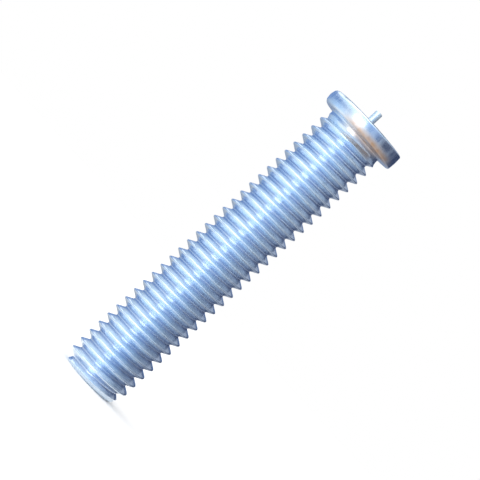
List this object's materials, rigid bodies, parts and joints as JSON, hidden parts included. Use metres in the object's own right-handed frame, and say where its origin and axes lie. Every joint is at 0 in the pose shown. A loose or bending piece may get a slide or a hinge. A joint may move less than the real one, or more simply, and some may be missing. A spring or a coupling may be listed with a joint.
{
  "type": "weld stud",
  "caption": "Threaded metal stud with a round flange and a small ignition tip at the end that is welded to a sheet; the rolled thread runs from its lead-in end almost to the flange.",
  "frame": {"origin": "centre of the flat threaded end, on which the stud stands", "axes": "+Z along the stud from the threaded end to the flange and its tip; X and Y lie in the end face, -Y towards the camera"},
  "size_m": [0.0064, 0.0064, 0.0263],
  "materials": {
    "bright_steel": "bright rolled stainless steel, pale and slightly bluish"
  },
  "bodies": {
    "root": {"weld_stud": "bright_steel"}
  },
  "joints": []
}
